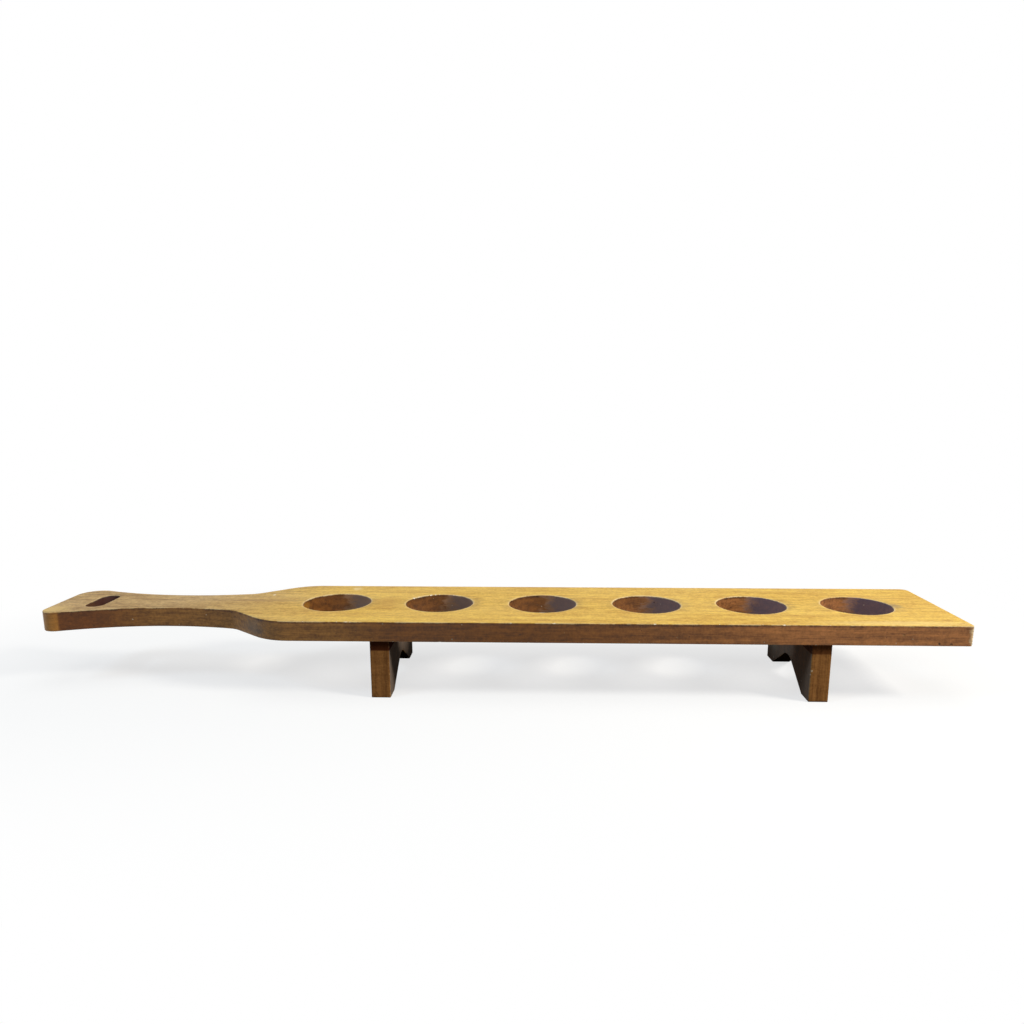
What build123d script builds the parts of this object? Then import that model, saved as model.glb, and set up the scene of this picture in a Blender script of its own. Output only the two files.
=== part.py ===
from build123d import *
import os
from math import cos, radians, sin, sqrt, tan

# A long wooden serving paddle for drinking glasses. One plank carries a row of
# round through holes that hold tapered glasses, and narrows at one end to a
# flared handle with a slot. It stands on two notched legs, each glued to the
# underside on a pair of fluted dowels.
#
# Frame: X runs along the plank, from the handle to the square end, Z is up, and
# the origin is on the ground under the middle of the whole length and width.

# Driving dimensions, in millimetres and degrees

# Plank
board_width = 140.0
board_thickness = 19.5
board_edge_round = 0.8
square_end_far_radius = 8.0
square_end_near_radius = 4.0

# Row of glass holes
hole_count = 6
hole_pitch = 105.0
hole_diameter = 68.0
shoulder_to_first_hole = 50.5
last_hole_to_square_end = 80.5

# Handle, with distances along X taken from its outer end
neck_width = 49.6
neck_from_end = 123.0
flare_radius = 280.0
handle_end_far_radius = 20.0
handle_end_near_radius = 13.0
shoulder_from_end = 235.0
shoulder_angle = 40.0
shoulder_radius = 55.0
throat_radius = 25.0

# Slot in the handle
slot_from_end = 41.0
slot_width = 18.5
slot_length = 46.0

# Legs
leg_height = 57.0
leg_thickness = 18.5
leg_setback = 3.0
leg_shift_inward = 3.0
leg_edge_round = 0.8
foot_length = 20.0
notch_slope = 31.0
notch_crown_radius = 24.0

# Dowels
dowel_diameter = 8.0
dowel_length = 30.0
dowel_depth_in_board = 12.0
dowel_from_leg_end = 22.0
dowel_end_chamfer = 0.8
dowel_flute_count = 12
dowel_flute_radius = 0.5
dowel_glue_gap = 0.05
dowel_end_space = 1.0

# Sizes worked out from the driving dimensions

hole_row_length = (hole_count - 1) * hole_pitch
board_length = shoulder_from_end + shoulder_to_first_hole + hole_row_length + last_hole_to_square_end
half_width = board_width / 2
handle_end_x = -board_length / 2
square_end_x = board_length / 2

last_hole_x = square_end_x - last_hole_to_square_end
first_hole_x = last_hole_x - hole_row_length
hole_xs = [first_hole_x + index * hole_pitch for index in range(hole_count)]

leg_depth = board_width - 2 * leg_setback
leg_from_end_hole = hole_pitch / 2 + leg_shift_inward
leg_xs = {
    "handle_leg": first_hole_x + leg_from_end_hole,
    "square_end_leg": last_hole_x - leg_from_end_hole,
}

dowel_y = leg_depth / 2 - dowel_from_leg_end
dowel_sides = {"near": -dowel_y, "far": dowel_y}
dowel_bottom_z = leg_height + dowel_depth_in_board - dowel_length
drill_bottom_z = dowel_bottom_z - dowel_end_space
drill_depth = dowel_length + 2 * dowel_end_space
drill_radius = dowel_diameter / 2 + dowel_glue_gap


def throat_point():
    """Point where the shoulder's slope runs into the handle's flare, on the +Y side."""
    corner = Vector(handle_end_x + shoulder_from_end, half_width)
    flare_centre = Vector(handle_end_x + neck_from_end, neck_width / 2 + flare_radius)
    slope = Vector(cos(radians(shoulder_angle)), sin(radians(shoulder_angle)))
    offset = corner - flare_centre
    along = slope.dot(offset)
    run = along + sqrt(along**2 - offset.dot(offset) + flare_radius**2)
    return corner - slope * run


def rounded(face, corner, radius):
    """The face with the corner nearest to a point rounded."""
    vertex = face.vertices().sort_by_distance((corner.X, corner.Y, 0))[0]
    return fillet(vertex, radius)


def board_outline():
    """Plan of the plank: square end, straight sides, shoulders, neck and flared handle."""
    flare_drop = sqrt(flare_radius**2 - neck_from_end**2)
    end_corner = Vector(handle_end_x, neck_width / 2 + flare_radius - flare_drop)
    neck = Vector(handle_end_x + neck_from_end, neck_width / 2)
    throat = throat_point()
    shoulder = Vector(handle_end_x + shoulder_from_end, half_width)
    square_corner = Vector(square_end_x, half_width)

    side = [
        ThreePointArc(end_corner, neck, throat),
        Line(throat, shoulder),
        Line(shoulder, square_corner),
    ]
    other_side = [mirror(edge, Plane.XZ) for edge in side]
    ends = [
        Line(end_corner, Vector(end_corner.X, -end_corner.Y)),
        Line(square_corner, Vector(square_corner.X, -square_corner.Y)),
    ]
    plan = make_face(side + other_side + ends)
    corner_radii = [
        (end_corner, handle_end_far_radius, handle_end_near_radius),
        (throat, throat_radius, throat_radius),
        (shoulder, shoulder_radius, shoulder_radius),
        (square_corner, square_end_far_radius, square_end_near_radius),
    ]
    for corner, far_radius, near_radius in corner_radii:
        plan = rounded(plan, corner, far_radius)
        plan = rounded(plan, Vector(corner.X, -corner.Y), near_radius)
    return plan


def dowel_drillings():
    """Every blind hole for a dowel, each running through the joint of leg and plank."""
    drill = Cylinder(drill_radius, drill_depth, align=(Align.CENTER, Align.CENTER, Align.MIN))
    return [Pos(x, y, drill_bottom_z) * drill for x in leg_xs.values() for y in dowel_sides.values()]


def paddle_board():
    """The plank with its glass holes, handle slot, eased edges and drillings underneath."""
    plan = board_outline()
    plan -= [Pos(x, 0) * Circle(hole_diameter / 2) for x in hole_xs]
    plan -= Pos(handle_end_x + slot_from_end, 0) * SlotOverall(slot_length, slot_width, rotation=90)
    board = Pos(0, 0, leg_height) * extrude(plan, board_thickness)
    faces = board.faces().filter_by(Axis.Z)
    return fillet(faces.edges(), board_edge_round) - dowel_drillings()


def leg_profile():
    """End view of a leg, in Y and Z: a block with a wide round-crowned notch that leaves two feet."""
    half_depth = leg_depth / 2
    notch_half = half_depth - foot_length
    crown_z = notch_half * tan(radians(notch_slope))
    outline = Polyline(
        (-half_depth, 0),
        (-notch_half, 0),
        (0, crown_z),
        (notch_half, 0),
        (half_depth, 0),
        (half_depth, leg_height),
        (-half_depth, leg_height),
        close=True,
    )
    face = make_face(outline)
    crown = face.vertices().sort_by_distance((0, crown_z, 0))[0]
    return fillet(crown, notch_crown_radius)


def leg(x):
    """A leg standing at x, with its edges eased except where it meets the plank."""
    blank = extrude(Plane.YZ * leg_profile(), leg_thickness / 2, both=True)
    joint_edges = blank.faces().sort_by(Axis.Z)[-1].edges()
    eased_edges = [edge for edge in blank.edges() if edge not in joint_edges]
    return Pos(x, 0, 0) * fillet(eased_edges, leg_edge_round) - dowel_drillings()


def dowel(x, y):
    """A fluted dowel at x and y, partly in the leg and partly in the plank."""
    pin = Cylinder(dowel_diameter / 2, dowel_length, align=(Align.CENTER, Align.CENTER, Align.MIN))
    pin = chamfer(pin.edges().filter_by(GeomType.CIRCLE), dowel_end_chamfer)
    flute = extrude(Circle(dowel_flute_radius), dowel_length)
    pin -= [place * flute for place in PolarLocations(dowel_diameter / 2, dowel_flute_count)]
    return Pos(x, y, dowel_bottom_z) * pin


pieces = {"paddle_board": paddle_board()}
for leg_name, leg_x in leg_xs.items():
    pieces[leg_name] = leg(leg_x)
    for side_name, side_y in dowel_sides.items():
        pieces[f"{leg_name}_{side_name}_dowel"] = dowel(leg_x, side_y)

os.makedirs("parts", exist_ok=True)
for node, shape in pieces.items():
    export_step(shape, f"parts/{node}.step")
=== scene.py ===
"""Looks of a worn wooden paddle that carries six drinking glasses.

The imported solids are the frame. The plank and the two legs are modelled again here, with
rounded and knocked edges, and stand for their solids. The hidden dowels keep their solids.
Lengths are in metres, in the part's own frame: X runs from the handle to the square end,
Y runs across the plank and away from the camera, and Z runs up from the table.
"""

import logging
import math
import random
from collections.abc import Callable, Iterable, Sequence
from dataclasses import dataclass
from enum import Enum

import bmesh
import bpy
from mathutils import Matrix, Vector

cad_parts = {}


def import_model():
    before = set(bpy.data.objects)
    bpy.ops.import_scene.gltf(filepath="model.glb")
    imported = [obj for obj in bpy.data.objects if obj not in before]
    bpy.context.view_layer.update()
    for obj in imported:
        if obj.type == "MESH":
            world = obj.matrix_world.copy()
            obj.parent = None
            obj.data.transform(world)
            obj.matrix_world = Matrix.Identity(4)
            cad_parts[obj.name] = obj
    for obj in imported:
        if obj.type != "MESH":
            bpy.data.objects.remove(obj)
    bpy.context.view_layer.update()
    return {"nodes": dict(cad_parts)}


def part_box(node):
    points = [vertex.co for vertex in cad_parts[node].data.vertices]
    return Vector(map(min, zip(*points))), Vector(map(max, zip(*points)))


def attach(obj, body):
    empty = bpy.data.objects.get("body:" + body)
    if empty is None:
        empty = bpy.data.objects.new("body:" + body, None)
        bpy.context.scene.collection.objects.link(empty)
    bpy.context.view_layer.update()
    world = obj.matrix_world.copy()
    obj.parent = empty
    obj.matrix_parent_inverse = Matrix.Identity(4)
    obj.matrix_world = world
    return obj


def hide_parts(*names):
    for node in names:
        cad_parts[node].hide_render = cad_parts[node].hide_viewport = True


LOG = logging.getLogger("paddle")
MM = 0.001
RIGHT_ANGLE = math.pi / 2
ALONG = Vector((1.0, 0.0, 0.0))
ACROSS = Vector((0.0, 1.0, 0.0))
UP = Vector((0.0, 0.0, 1.0))
ARRIS = "arris"
CHIP = "chip"
KNOCK_ROUGHNESS = 0.35
FLAT = 0.99
ROUND_STEPS = 3
MERGE_GAP = 0.01 * MM
SMOOTH_TURN = math.radians(38)
RELIEF_STEP = 0.25 * MM
UPRIGHT_FIBRES = (0.0, RIGHT_ANGLE, 0.0)
VALUE = "NodeSocketFloat"
VECTOR = "NodeSocketVector"

Colour = tuple[float, float, float, float]
Triple = tuple[float, float, float]
Pair = tuple[float, float]
Element = bmesh.types.BMFace | bmesh.types.BMEdge
Socket = bpy.types.NodeSocket
Feed = Socket | float | Sequence[float]

WHITE: Colour = (1.0, 1.0, 1.0, 1.0)


class Age(Enum):
    """Age of a bite out of the wood, as the value that its faces carry."""

    OLD = 0.5
    FRESH = 1.0


class Part(Enum):
    """Parts of a mesh that can be picked, as its select modes are called."""

    FACES = "FACE"
    EDGES = "EDGE"


def tone(red: int, green: int, blue: int) -> Colour:
    """Turn a colour as a screen shows it into the linear one that a shader takes.

    Args:
        red: Red, from 0 to 255.
        green: Green, from 0 to 255.
        blue: Blue, from 0 to 255.

    Returns:
        The linear colour.
    """

    def linear(part: int) -> float:
        """Undo the screen's curve for one part of the colour."""
        share = part / 255
        return share / 12.92 if share <= 0.04045 else ((share + 0.055) / 1.055) ** 2.4

    return linear(red), linear(green), linear(blue), 1.0


# Bench work: selecting, cutting and finishing meshes


def clear_bench() -> None:
    """Leave edit mode and deselect every object."""
    if bpy.context.object and bpy.context.object.mode != "OBJECT":
        bpy.ops.object.mode_set(mode="OBJECT")
    bpy.ops.object.select_all(action="DESELECT")


def take_up(piece: bpy.types.Object) -> None:
    """Make a piece the only selected object and the active one.

    Args:
        piece: The piece.
    """
    clear_bench()
    piece.select_set(True)
    bpy.context.view_layer.objects.active = piece


def empty_piece(name: str, add: Callable[..., object], **size: float) -> bpy.types.Object:
    """Start a new piece with nothing in it yet, in edit mode.

    Args:
        name: Name of the piece.
        add: Operator that adds a simple shape, which is emptied out at once. The order of the points
            that come after it depends on it.
        **size: Sizes of that shape.

    Returns:
        The piece.
    """
    clear_bench()
    add(**size)
    piece = bpy.context.object
    piece.name = name
    bpy.ops.object.mode_set(mode="EDIT")
    bpy.ops.mesh.select_mode(type="VERT")
    bpy.ops.mesh.select_all(action="SELECT")
    bpy.ops.mesh.delete(type="VERT")
    return piece


def pick(part: Part, test: Callable[[Element], bool]) -> None:
    """Select the faces or edges in edit mode that pass a test.

    Args:
        part: Whether faces or edges are picked.
        test: Says of one of them whether it is wanted.
    """
    bpy.ops.mesh.select_mode(type=part.value)
    bpy.ops.mesh.select_all(action="DESELECT")
    mesh = bpy.context.object.data
    shape = bmesh.from_edit_mesh(mesh)
    for element in shape.faces if part is Part.FACES else shape.edges:
        element.select_set(test(element))
    bmesh.update_edit_mesh(mesh)


def raise_walls(direction: Vector, rows: Iterable[float]) -> None:
    """Extrude the selected flat face into a block.

    Args:
        direction: Way to extrude.
        rows: Height of each row of wall faces, in order.
    """
    for rise in rows:
        bpy.ops.mesh.extrude_region_move(TRANSFORM_OT_translate={"value": direction * rise})
    bpy.ops.mesh.select_all(action="SELECT")
    bpy.ops.mesh.normals_make_consistent(inside=False)


def ease_face(normal: Vector, radius: float, margin: float) -> None:
    """Round over the rim of one flat side of a block, with a narrow flat ring inside the round.

    Args:
        normal: Way that side looks.
        radius: Radius of the round.
        margin: Width of the flat ring.
    """
    pick(Part.FACES, lambda face: face.normal.dot(normal) > FLAT)
    for step in range(ROUND_STEPS):
        start = RIGHT_ANGLE * step / ROUND_STEPS
        stop = RIGHT_ANGLE * (step + 1) / ROUND_STEPS
        bpy.ops.mesh.inset(
            thickness=radius * (math.cos(start) - math.cos(stop)),
            depth=radius * (math.sin(stop) - math.sin(start)),
        )
    bpy.ops.mesh.inset(thickness=margin, depth=0.0)


def cut_away(piece: bpy.types.Object, cutter: bpy.types.Object) -> None:
    """Take the shape of a cutter out of a piece.

    Args:
        piece: Mesh that is cut.
        cutter: Closed mesh, kept for the next cut.
    """
    take_up(piece)
    cut = piece.modifiers.new("cut", "BOOLEAN")
    cut.operation = "DIFFERENCE"
    cut.solver = "EXACT"
    cut.object = cutter
    bpy.ops.object.modifier_apply(modifier=cut.name)


def edge_sharpness(piece: bpy.types.Object, full_turn: float = math.radians(20)) -> list[float]:
    """Measure how sharply the surface turns outwards at each point of a piece.

    Args:
        piece: Mesh to measure.
        full_turn: Angle between faces that counts as a full edge.

    Returns:
        A share from 0 to 1 for each point.
    """
    shape = bmesh.new()
    shape.from_mesh(piece.data)
    sharpness = []
    for point in shape.verts:
        turns = [edge.calc_face_angle_signed(0.0) for edge in point.link_edges]
        sharpness.append(min(1.0, max(0.0, max(turns, default=0.0)) / full_turn))
    shape.free()
    return sharpness


def wear_down(piece: bpy.types.Object, depth: float, patch: float) -> None:
    """Rub the eased edges of a piece down unevenly.

    Args:
        piece: Mesh with eased edges.
        depth: Most that is rubbed off.
        patch: Length of a rubbed patch along the edge.
    """
    take_up(piece)
    group = piece.vertex_groups.new(name=ARRIS)
    for index, share in enumerate(edge_sharpness(piece)):
        if share > 0.0:
            group.add([index], share, "REPLACE")
    texture = bpy.data.textures.new(f"{piece.name}_rub", "CLOUDS")
    texture.noise_scale = patch
    texture.noise_depth = 2
    rub = piece.modifiers.new("rub", "DISPLACE")
    rub.texture = texture
    rub.texture_coords = "LOCAL"
    rub.vertex_group = ARRIS
    rub.mid_level = 0.0
    rub.strength = -depth
    bpy.ops.object.modifier_apply(modifier=rub.name)
    piece.vertex_groups.clear()


def mark_arris(piece: bpy.types.Object) -> None:
    """Store how sharp the edges are on the corners of the faces, where later cuts keep it.

    Args:
        piece: Mesh with eased edges.
    """
    take_up(piece)
    sharpness = edge_sharpness(piece)
    marks = piece.data.attributes.new(ARRIS, "FLOAT", "CORNER")
    for mark, corner in zip(marks.data, piece.data.loops):
        mark.value = sharpness[corner.vertex_index]


def finish_mesh(piece: bpy.types.Object) -> None:
    """Merge doubled points, turn the faces outwards and smooth the rounds.

    Args:
        piece: Mesh that is cut and worn already.
    """
    take_up(piece)
    bpy.ops.object.mode_set(mode="EDIT")
    bpy.ops.mesh.select_all(action="SELECT")
    bpy.ops.mesh.remove_doubles(threshold=MERGE_GAP)
    bpy.ops.mesh.normals_make_consistent(inside=False)
    bpy.ops.object.mode_set(mode="OBJECT")
    bpy.ops.object.shade_smooth_by_angle(angle=SMOOTH_TURN)
    clear_bench()


class OutlinePen:
    """Draws the outline of a flat blank in edit mode, one straight run or arc at a time."""

    finest_turn = math.radians(8)
    closing_gap = 0.05 * MM

    def __init__(self, name: str, normal: Vector, spacing: float) -> None:
        """Start an empty blank.

        Args:
            name: Name of the new piece.
            normal: Way the blank faces. Turns to the left are positive, seen from there.
            spacing: Longest step between two points.
        """
        self.piece = empty_piece(name, bpy.ops.mesh.primitive_plane_add, size=MM)
        self.normal = normal
        self.spacing = spacing
        self.place = Vector()
        self.heading = Vector()

    def put_down(self, place: Vector, heading: Vector) -> None:
        """Put down a single point to draw from.

        Args:
            place: Where the outline starts.
            heading: Way it sets off.
        """
        bpy.ops.mesh.select_all(action="DESELECT")
        bpy.ops.mesh.primitive_plane_add(size=MM, location=place)
        bpy.ops.mesh.merge(type="CENTER")
        self.place = place.copy()
        self.heading = heading.normalized()

    def run(self, length: float) -> None:
        """Draw a straight run.

        Args:
            length: Length of the run, or 0 for none.
        """
        steps = math.ceil(length / self.spacing)
        for _ in range(steps):
            move = self.heading * (length / steps)
            bpy.ops.mesh.extrude_region_move(TRANSFORM_OT_translate={"value": move})
        self.place += self.heading * length

    def turn(self, radius: float, angle: float) -> None:
        """Draw an arc.

        Args:
            radius: Radius of the arc, or 0 for a sharp corner.
            angle: Angle turned, positive to the left.
        """
        swing = Matrix.Rotation(angle, 3, self.normal)
        if radius > 0.0:
            left = self.normal.cross(self.heading)
            centre = self.place + left * math.copysign(radius, angle)
            steps = math.ceil(max(radius * abs(angle) / self.spacing, abs(angle) / self.finest_turn))
            bpy.ops.mesh.spin(steps=steps, angle=-angle, center=centre, axis=self.normal)
            self.place = centre + swing @ (self.place - centre)
        self.heading = swing @ self.heading

    def close(self) -> None:
        """Join the last point to the first and leave the whole outline selected."""
        bpy.ops.mesh.select_all(action="SELECT")
        bpy.ops.mesh.remove_doubles(threshold=self.closing_gap)


@dataclass(frozen=True)
class Knock:
    """A bite out of the wood: its middle and its half sizes, in millimetres."""

    middle: Triple
    half: Triple


def knock_tool(name: str, knocks: Sequence[Knock], age: Age) -> bpy.types.Object:
    """Make a cutter with one rough lump for each knock.

    Args:
        name: Name of the cutter.
        knocks: Places and sizes of the lumps.
        age: Age that its cuts carry.

    Returns:
        The cutter.
    """
    cutter = empty_piece(name, bpy.ops.mesh.primitive_ico_sphere_add, radius=MM)
    for seed, lump in enumerate(knocks):
        bpy.ops.mesh.select_all(action="DESELECT")
        bpy.ops.mesh.primitive_ico_sphere_add(
            subdivisions=2,
            radius=1.0,
            location=Vector(lump.middle) * MM,
            scale=Vector(lump.half) * MM,
        )
        bpy.ops.transform.vertex_random(offset=KNOCK_ROUGHNESS * min(lump.half) * MM, seed=seed)
    bpy.ops.mesh.select_all(action="SELECT")
    bpy.ops.mesh.normals_make_consistent(inside=False)
    clear_bench()
    marks = cutter.data.attributes.new(CHIP, "FLOAT", "FACE")
    for mark in marks.data:
        mark.value = age.value
    return cutter


def knock(piece: bpy.types.Object, knocks: Sequence[Knock], age: Age) -> None:
    """Knock bites out of a piece.

    Args:
        piece: Mesh that is knocked.
        knocks: Places and sizes of the bites.
        age: Fresh for pale bites or old for dark ones.
    """
    if CHIP not in piece.data.attributes:
        piece.data.attributes.new(CHIP, "FLOAT", "FACE")
    cutter = knock_tool(f"{piece.name}_bites", knocks, age)
    cut_away(piece, cutter)
    bpy.data.objects.remove(cutter)


# Node groups and finishes


class NodeSheet:
    """A node tree with short calls that add a node and wire it."""

    def __init__(self, tree: bpy.types.NodeTree) -> None:
        """Take up the tree that the calls add to."""
        self.tree = tree

    def add(self, kind: str, **options: object) -> bpy.types.Node:
        """Add a node and set its options.

        Args:
            kind: Blender's name for the node.
            **options: Properties to set on it.

        Returns:
            The new node.
        """
        node = self.tree.nodes.new(kind)
        for name, value in options.items():
            setattr(node, name, value)
        return node

    def feed(self, socket: Socket, source: Feed) -> None:
        """Wire a source to an input, or set the input where the source is a plain value.

        Args:
            socket: The input.
            source: An output or a plain value.
        """
        if isinstance(source, bpy.types.NodeSocket):
            self.tree.links.new(source, socket)
        else:
            socket.default_value = source

    def math(self, operation: str, *terms: Feed) -> Socket:
        """Work on numbers with one Math node.

        Args:
            operation: Blender's name for the sum.
            *terms: Numbers or outputs, in order.

        Returns:
            The result.
        """
        node = self.add("ShaderNodeMath", operation=operation)
        for socket, term in zip(node.inputs, terms):
            self.feed(socket, term)
        return node.outputs[0]

    def weigh(self, *parts: tuple[Socket, float]) -> Socket:
        """Add up values, each multiplied by its weight.

        Args:
            *parts: Pairs of a value and its weight.

        Returns:
            The sum.
        """
        total: Feed = 0.0
        for value, weight in parts:
            total = self.math("MULTIPLY_ADD", value, weight, total)
        return total

    def hypotenuse(self, first: Feed, second: Feed) -> Socket:
        """Find the long side of a right triangle from its two short sides."""
        square = self.math("MULTIPLY", first, first)
        return self.math("SQRT", self.math("MULTIPLY_ADD", second, second, square))

    def ramp(self, value: Feed, low: Feed, high: Feed, start: Feed = 0.0, stop: Feed = 1.0) -> Socket:
        """Ease a value from one range to another.

        Args:
            value: Value to map.
            low: Value that gives start.
            high: Value that gives stop.
            start: First result.
            stop: Last result.

        Returns:
            The mapped value.
        """
        node = self.add("ShaderNodeMapRange", interpolation_type="SMOOTHSTEP")
        for name, source in zip(
            ("Value", "From Min", "From Max", "To Min", "To Max"), (value, low, high, start, stop)
        ):
            self.feed(node.inputs[name], source)
        return node.outputs["Result"]

    def mix(self, share: Feed, first: Feed, second: Feed) -> Socket:
        """Mix two colours.

        Args:
            share: How much of the second colour.
            first: Colour at share 0.
            second: Colour at share 1.

        Returns:
            The mixed colour.
        """
        node = self.add("ShaderNodeMix", data_type="RGBA")
        self.feed(node.inputs[0], share)
        self.feed(node.inputs[6], first)
        self.feed(node.inputs[7], second)
        return node.outputs[2]

    def tint(self, colour: Feed, cover: Feed, *masks: Feed) -> Socket:
        """Lay one colour over another where some masks meet.

        Args:
            colour: Colour underneath.
            cover: Colour that is laid over it.
            *masks: Shares that are multiplied together.

        Returns:
            The mixed colour.
        """
        share, *others = masks
        for mask in others:
            share = self.math("MULTIPLY", share, mask)
        return self.mix(share, colour, cover)

    def vectors(self, operation: str, first: Feed, second: Feed) -> Socket:
        """Work on two vectors with one Vector Math node.

        Args:
            operation: Blender's name for the sum.
            first: First vector.
            second: Second vector.

        Returns:
            The resulting vector.
        """
        node = self.add("ShaderNodeVectorMath", operation=operation)
        self.feed(node.inputs[0], first)
        self.feed(node.inputs[1], second)
        return node.outputs[0]

    def noise(self, vector: Feed, cycles: Triple, detail: float = 2.0, rough: float = 0.5) -> Socket:
        """Read a soft noise.

        Args:
            vector: Place in metres.
            cycles: Cycles of noise in a metre, along each axis.
            detail: Number of finer layers.
            rough: Strength of the finer layers.

        Returns:
            A value that is mostly from 0.3 to 0.7.
        """
        node = self.add("ShaderNodeTexNoise", noise_dimensions="3D")
        self.feed(node.inputs["Vector"], self.vectors("MULTIPLY", vector, cycles))
        node.inputs["Scale"].default_value = 1.0
        node.inputs["Detail"].default_value = detail
        node.inputs["Roughness"].default_value = rough
        return node.outputs["Fac"]

    def split(self, vector: Feed) -> tuple[Socket, Socket, Socket]:
        """Take a vector apart.

        Args:
            vector: The vector.

        Returns:
            Its X, Y and Z.
        """
        node = self.add("ShaderNodeSeparateXYZ")
        self.feed(node.inputs[0], vector)
        return node.outputs[0], node.outputs[1], node.outputs[2]

    def place(self, vector: Feed, location: Triple, turn: Triple) -> Socket:
        """Move and then turn a pattern's coordinates with a Mapping node.

        Args:
            vector: Coordinates of the piece.
            location: Point that becomes the origin.
            turn: Turn about X, Y and Z.

        Returns:
            The pattern's coordinates.
        """
        moved = self.add("ShaderNodeMapping", vector_type="POINT")
        self.feed(moved.inputs["Vector"], vector)
        moved.inputs["Location"].default_value = [-part for part in location]
        turned = self.add("ShaderNodeMapping", vector_type="POINT")
        self.feed(turned.inputs["Vector"], moved.outputs[0])
        turned.inputs["Rotation"].default_value = turn
        return turned.outputs[0]

    def effect(self, group: bpy.types.NodeTree, **sources: Feed) -> bpy.types.NodeOutputs:
        """Place an effect's node group and wire it.

        Args:
            group: The effect.
            **sources: Value for each input, by the socket's name with _ for a space.

        Returns:
            The outputs of the placed group.
        """
        node = self.add("ShaderNodeGroup", node_tree=group)
        for name, source in sources.items():
            self.feed(node.inputs[name.replace("_", " ").capitalize()], source)
        return node.outputs


class Effect(NodeSheet):
    """A node group while it is being built."""

    def __init__(self, name: str, takes: dict[str, str], gives: Sequence[str]) -> None:
        """Make the group and its sockets.

        Args:
            name: Name of the group.
            takes: Kind of socket for each input.
            gives: Names of the outputs, which are all numbers.
        """
        super().__init__(bpy.data.node_groups.new(name, "ShaderNodeTree"))
        for socket, kind in takes.items():
            self.tree.interface.new_socket(socket, in_out="INPUT", socket_type=kind)
        for socket in gives:
            self.tree.interface.new_socket(socket, in_out="OUTPUT", socket_type=VALUE)
        self.taken = self.add("NodeGroupInput").outputs
        self.given = self.add("NodeGroupOutput").inputs

    def give(self, name: str, source: Feed) -> None:
        """Wire a result to one of the group's outputs."""
        self.feed(self.given[name], source)


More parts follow.
